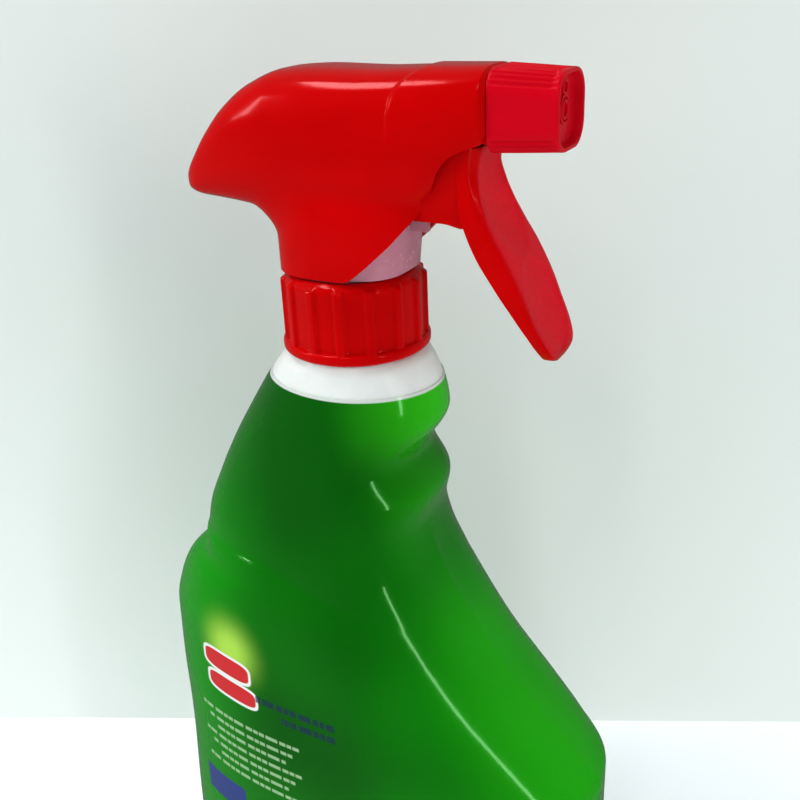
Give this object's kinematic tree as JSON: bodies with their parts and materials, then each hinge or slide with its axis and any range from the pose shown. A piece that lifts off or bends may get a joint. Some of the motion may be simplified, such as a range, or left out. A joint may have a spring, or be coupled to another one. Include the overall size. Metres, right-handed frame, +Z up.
{
  "type": "trigger spray bottle",
  "caption": "White plastic bottle in a green shrink sleeve with a red trigger sprayer: finger lever, turning nozzle, screw collar, pump, valves and dip tube.",
  "frame": {"origin": "middle of the bottle's standing face, at the centre of the object's plan box", "axes": "+Z up, +X towards the nozzle, the object is symmetric about the XZ plane apart from its threads"},
  "size_m": [0.1235, 0.0606, 0.235],
  "materials": {
    "bottle_white": "satin blow-moulded polyethylene",
    "sleeve_green": "glossy printed shrink film",
    "sprayer_red": "glossy moulded polypropylene",
    "nozzle_red": "glossy moulded polypropylene",
    "housing_natural": "natural translucent polypropylene",
    "inner_white": "moulded polyethylene",
    "seal_soft": "soft sealing ring",
    "tube_clear": "extruded polyethylene tube",
    "spring_steel": "drawn stainless wire",
    "ball_steel": "polished stainless ball"
  },
  "bodies": {
    "bottle": {"bottle": "bottle_white", "shrink_sleeve": "sleeve_green"},
    "head": {"sprayer_body": "housing_natural", "sprayer_shroud": "sprayer_red", "tube_retainer": "inner_white", "dip_tube": "tube_clear", "neck_gasket": "seal_soft", "ball_cage": "inner_white", "return_spring": "spring_steel", "discharge_spring": "spring_steel", "spinner": "inner_white", "nozzle_seal": "seal_soft"},
    "collar": {"closure_collar": "sprayer_red"},
    "trigger": {"trigger": "sprayer_red"},
    "plunger": {"piston_rod": "inner_white", "piston_cup": "seal_soft", "vent_seal": "seal_soft"},
    "nozzle": {"nozzle_cap": "nozzle_red", "orifice_insert": "nozzle_red"},
    "inlet_ball": {"inlet_ball": "ball_steel"},
    "discharge_valve": {"discharge_valve": "inner_white"}
  },
  "joints": [
    {"name": "head_rise", "type": "slide", "parent": "bottle", "child": "head", "axis": [0, 0, 1], "range_m": [0, 0.00529]},
    {"name": "collar_unscrew", "type": "hinge", "parent": "head", "child": "collar", "pos_m": [-0.0007, 0, 0.174], "axis": [0, 0, 1], "range_deg": [0, 450]},
    {"name": "trigger_pull", "type": "hinge", "parent": "head", "child": "trigger", "pos_m": [0.0296, 0, 0.224], "axis": [0, 1, 0], "range_deg": [0, 27], "stiffness_Nm_per_rad": 0.2, "springref_deg": -34.38},
    {"name": "plunger_stroke", "type": "slide", "parent": "head", "child": "plunger", "axis": [-1, 0, 0], "range_m": [0, 0.006], "deforming": ["return_spring"]},
    {"name": "nozzle_turn", "type": "hinge", "parent": "head", "child": "nozzle", "pos_m": [0.0423, 0, 0.2268], "axis": [1, 0, 0], "continuous": true},
    {"name": "inlet_ball_lift", "type": "slide", "parent": "head", "child": "inlet_ball", "axis": [0, 0, 1], "range_m": [0, 0.001]},
    {"name": "discharge_valve_open", "type": "slide", "parent": "head", "child": "discharge_valve", "axis": [1, 0, 0], "range_m": [0, 0.0008], "stiffness_N_per_m": 8, "springref_m": -0.001, "deforming": ["discharge_spring"]}
  ],
  "couplings": [
    {"joint": "collar_unscrew", "follows": "head_rise", "rad_per_m": 1484.3},
    {"joint": "plunger_stroke", "follows": "trigger_pull", "m_per_rad": 0.0126}
  ]
}
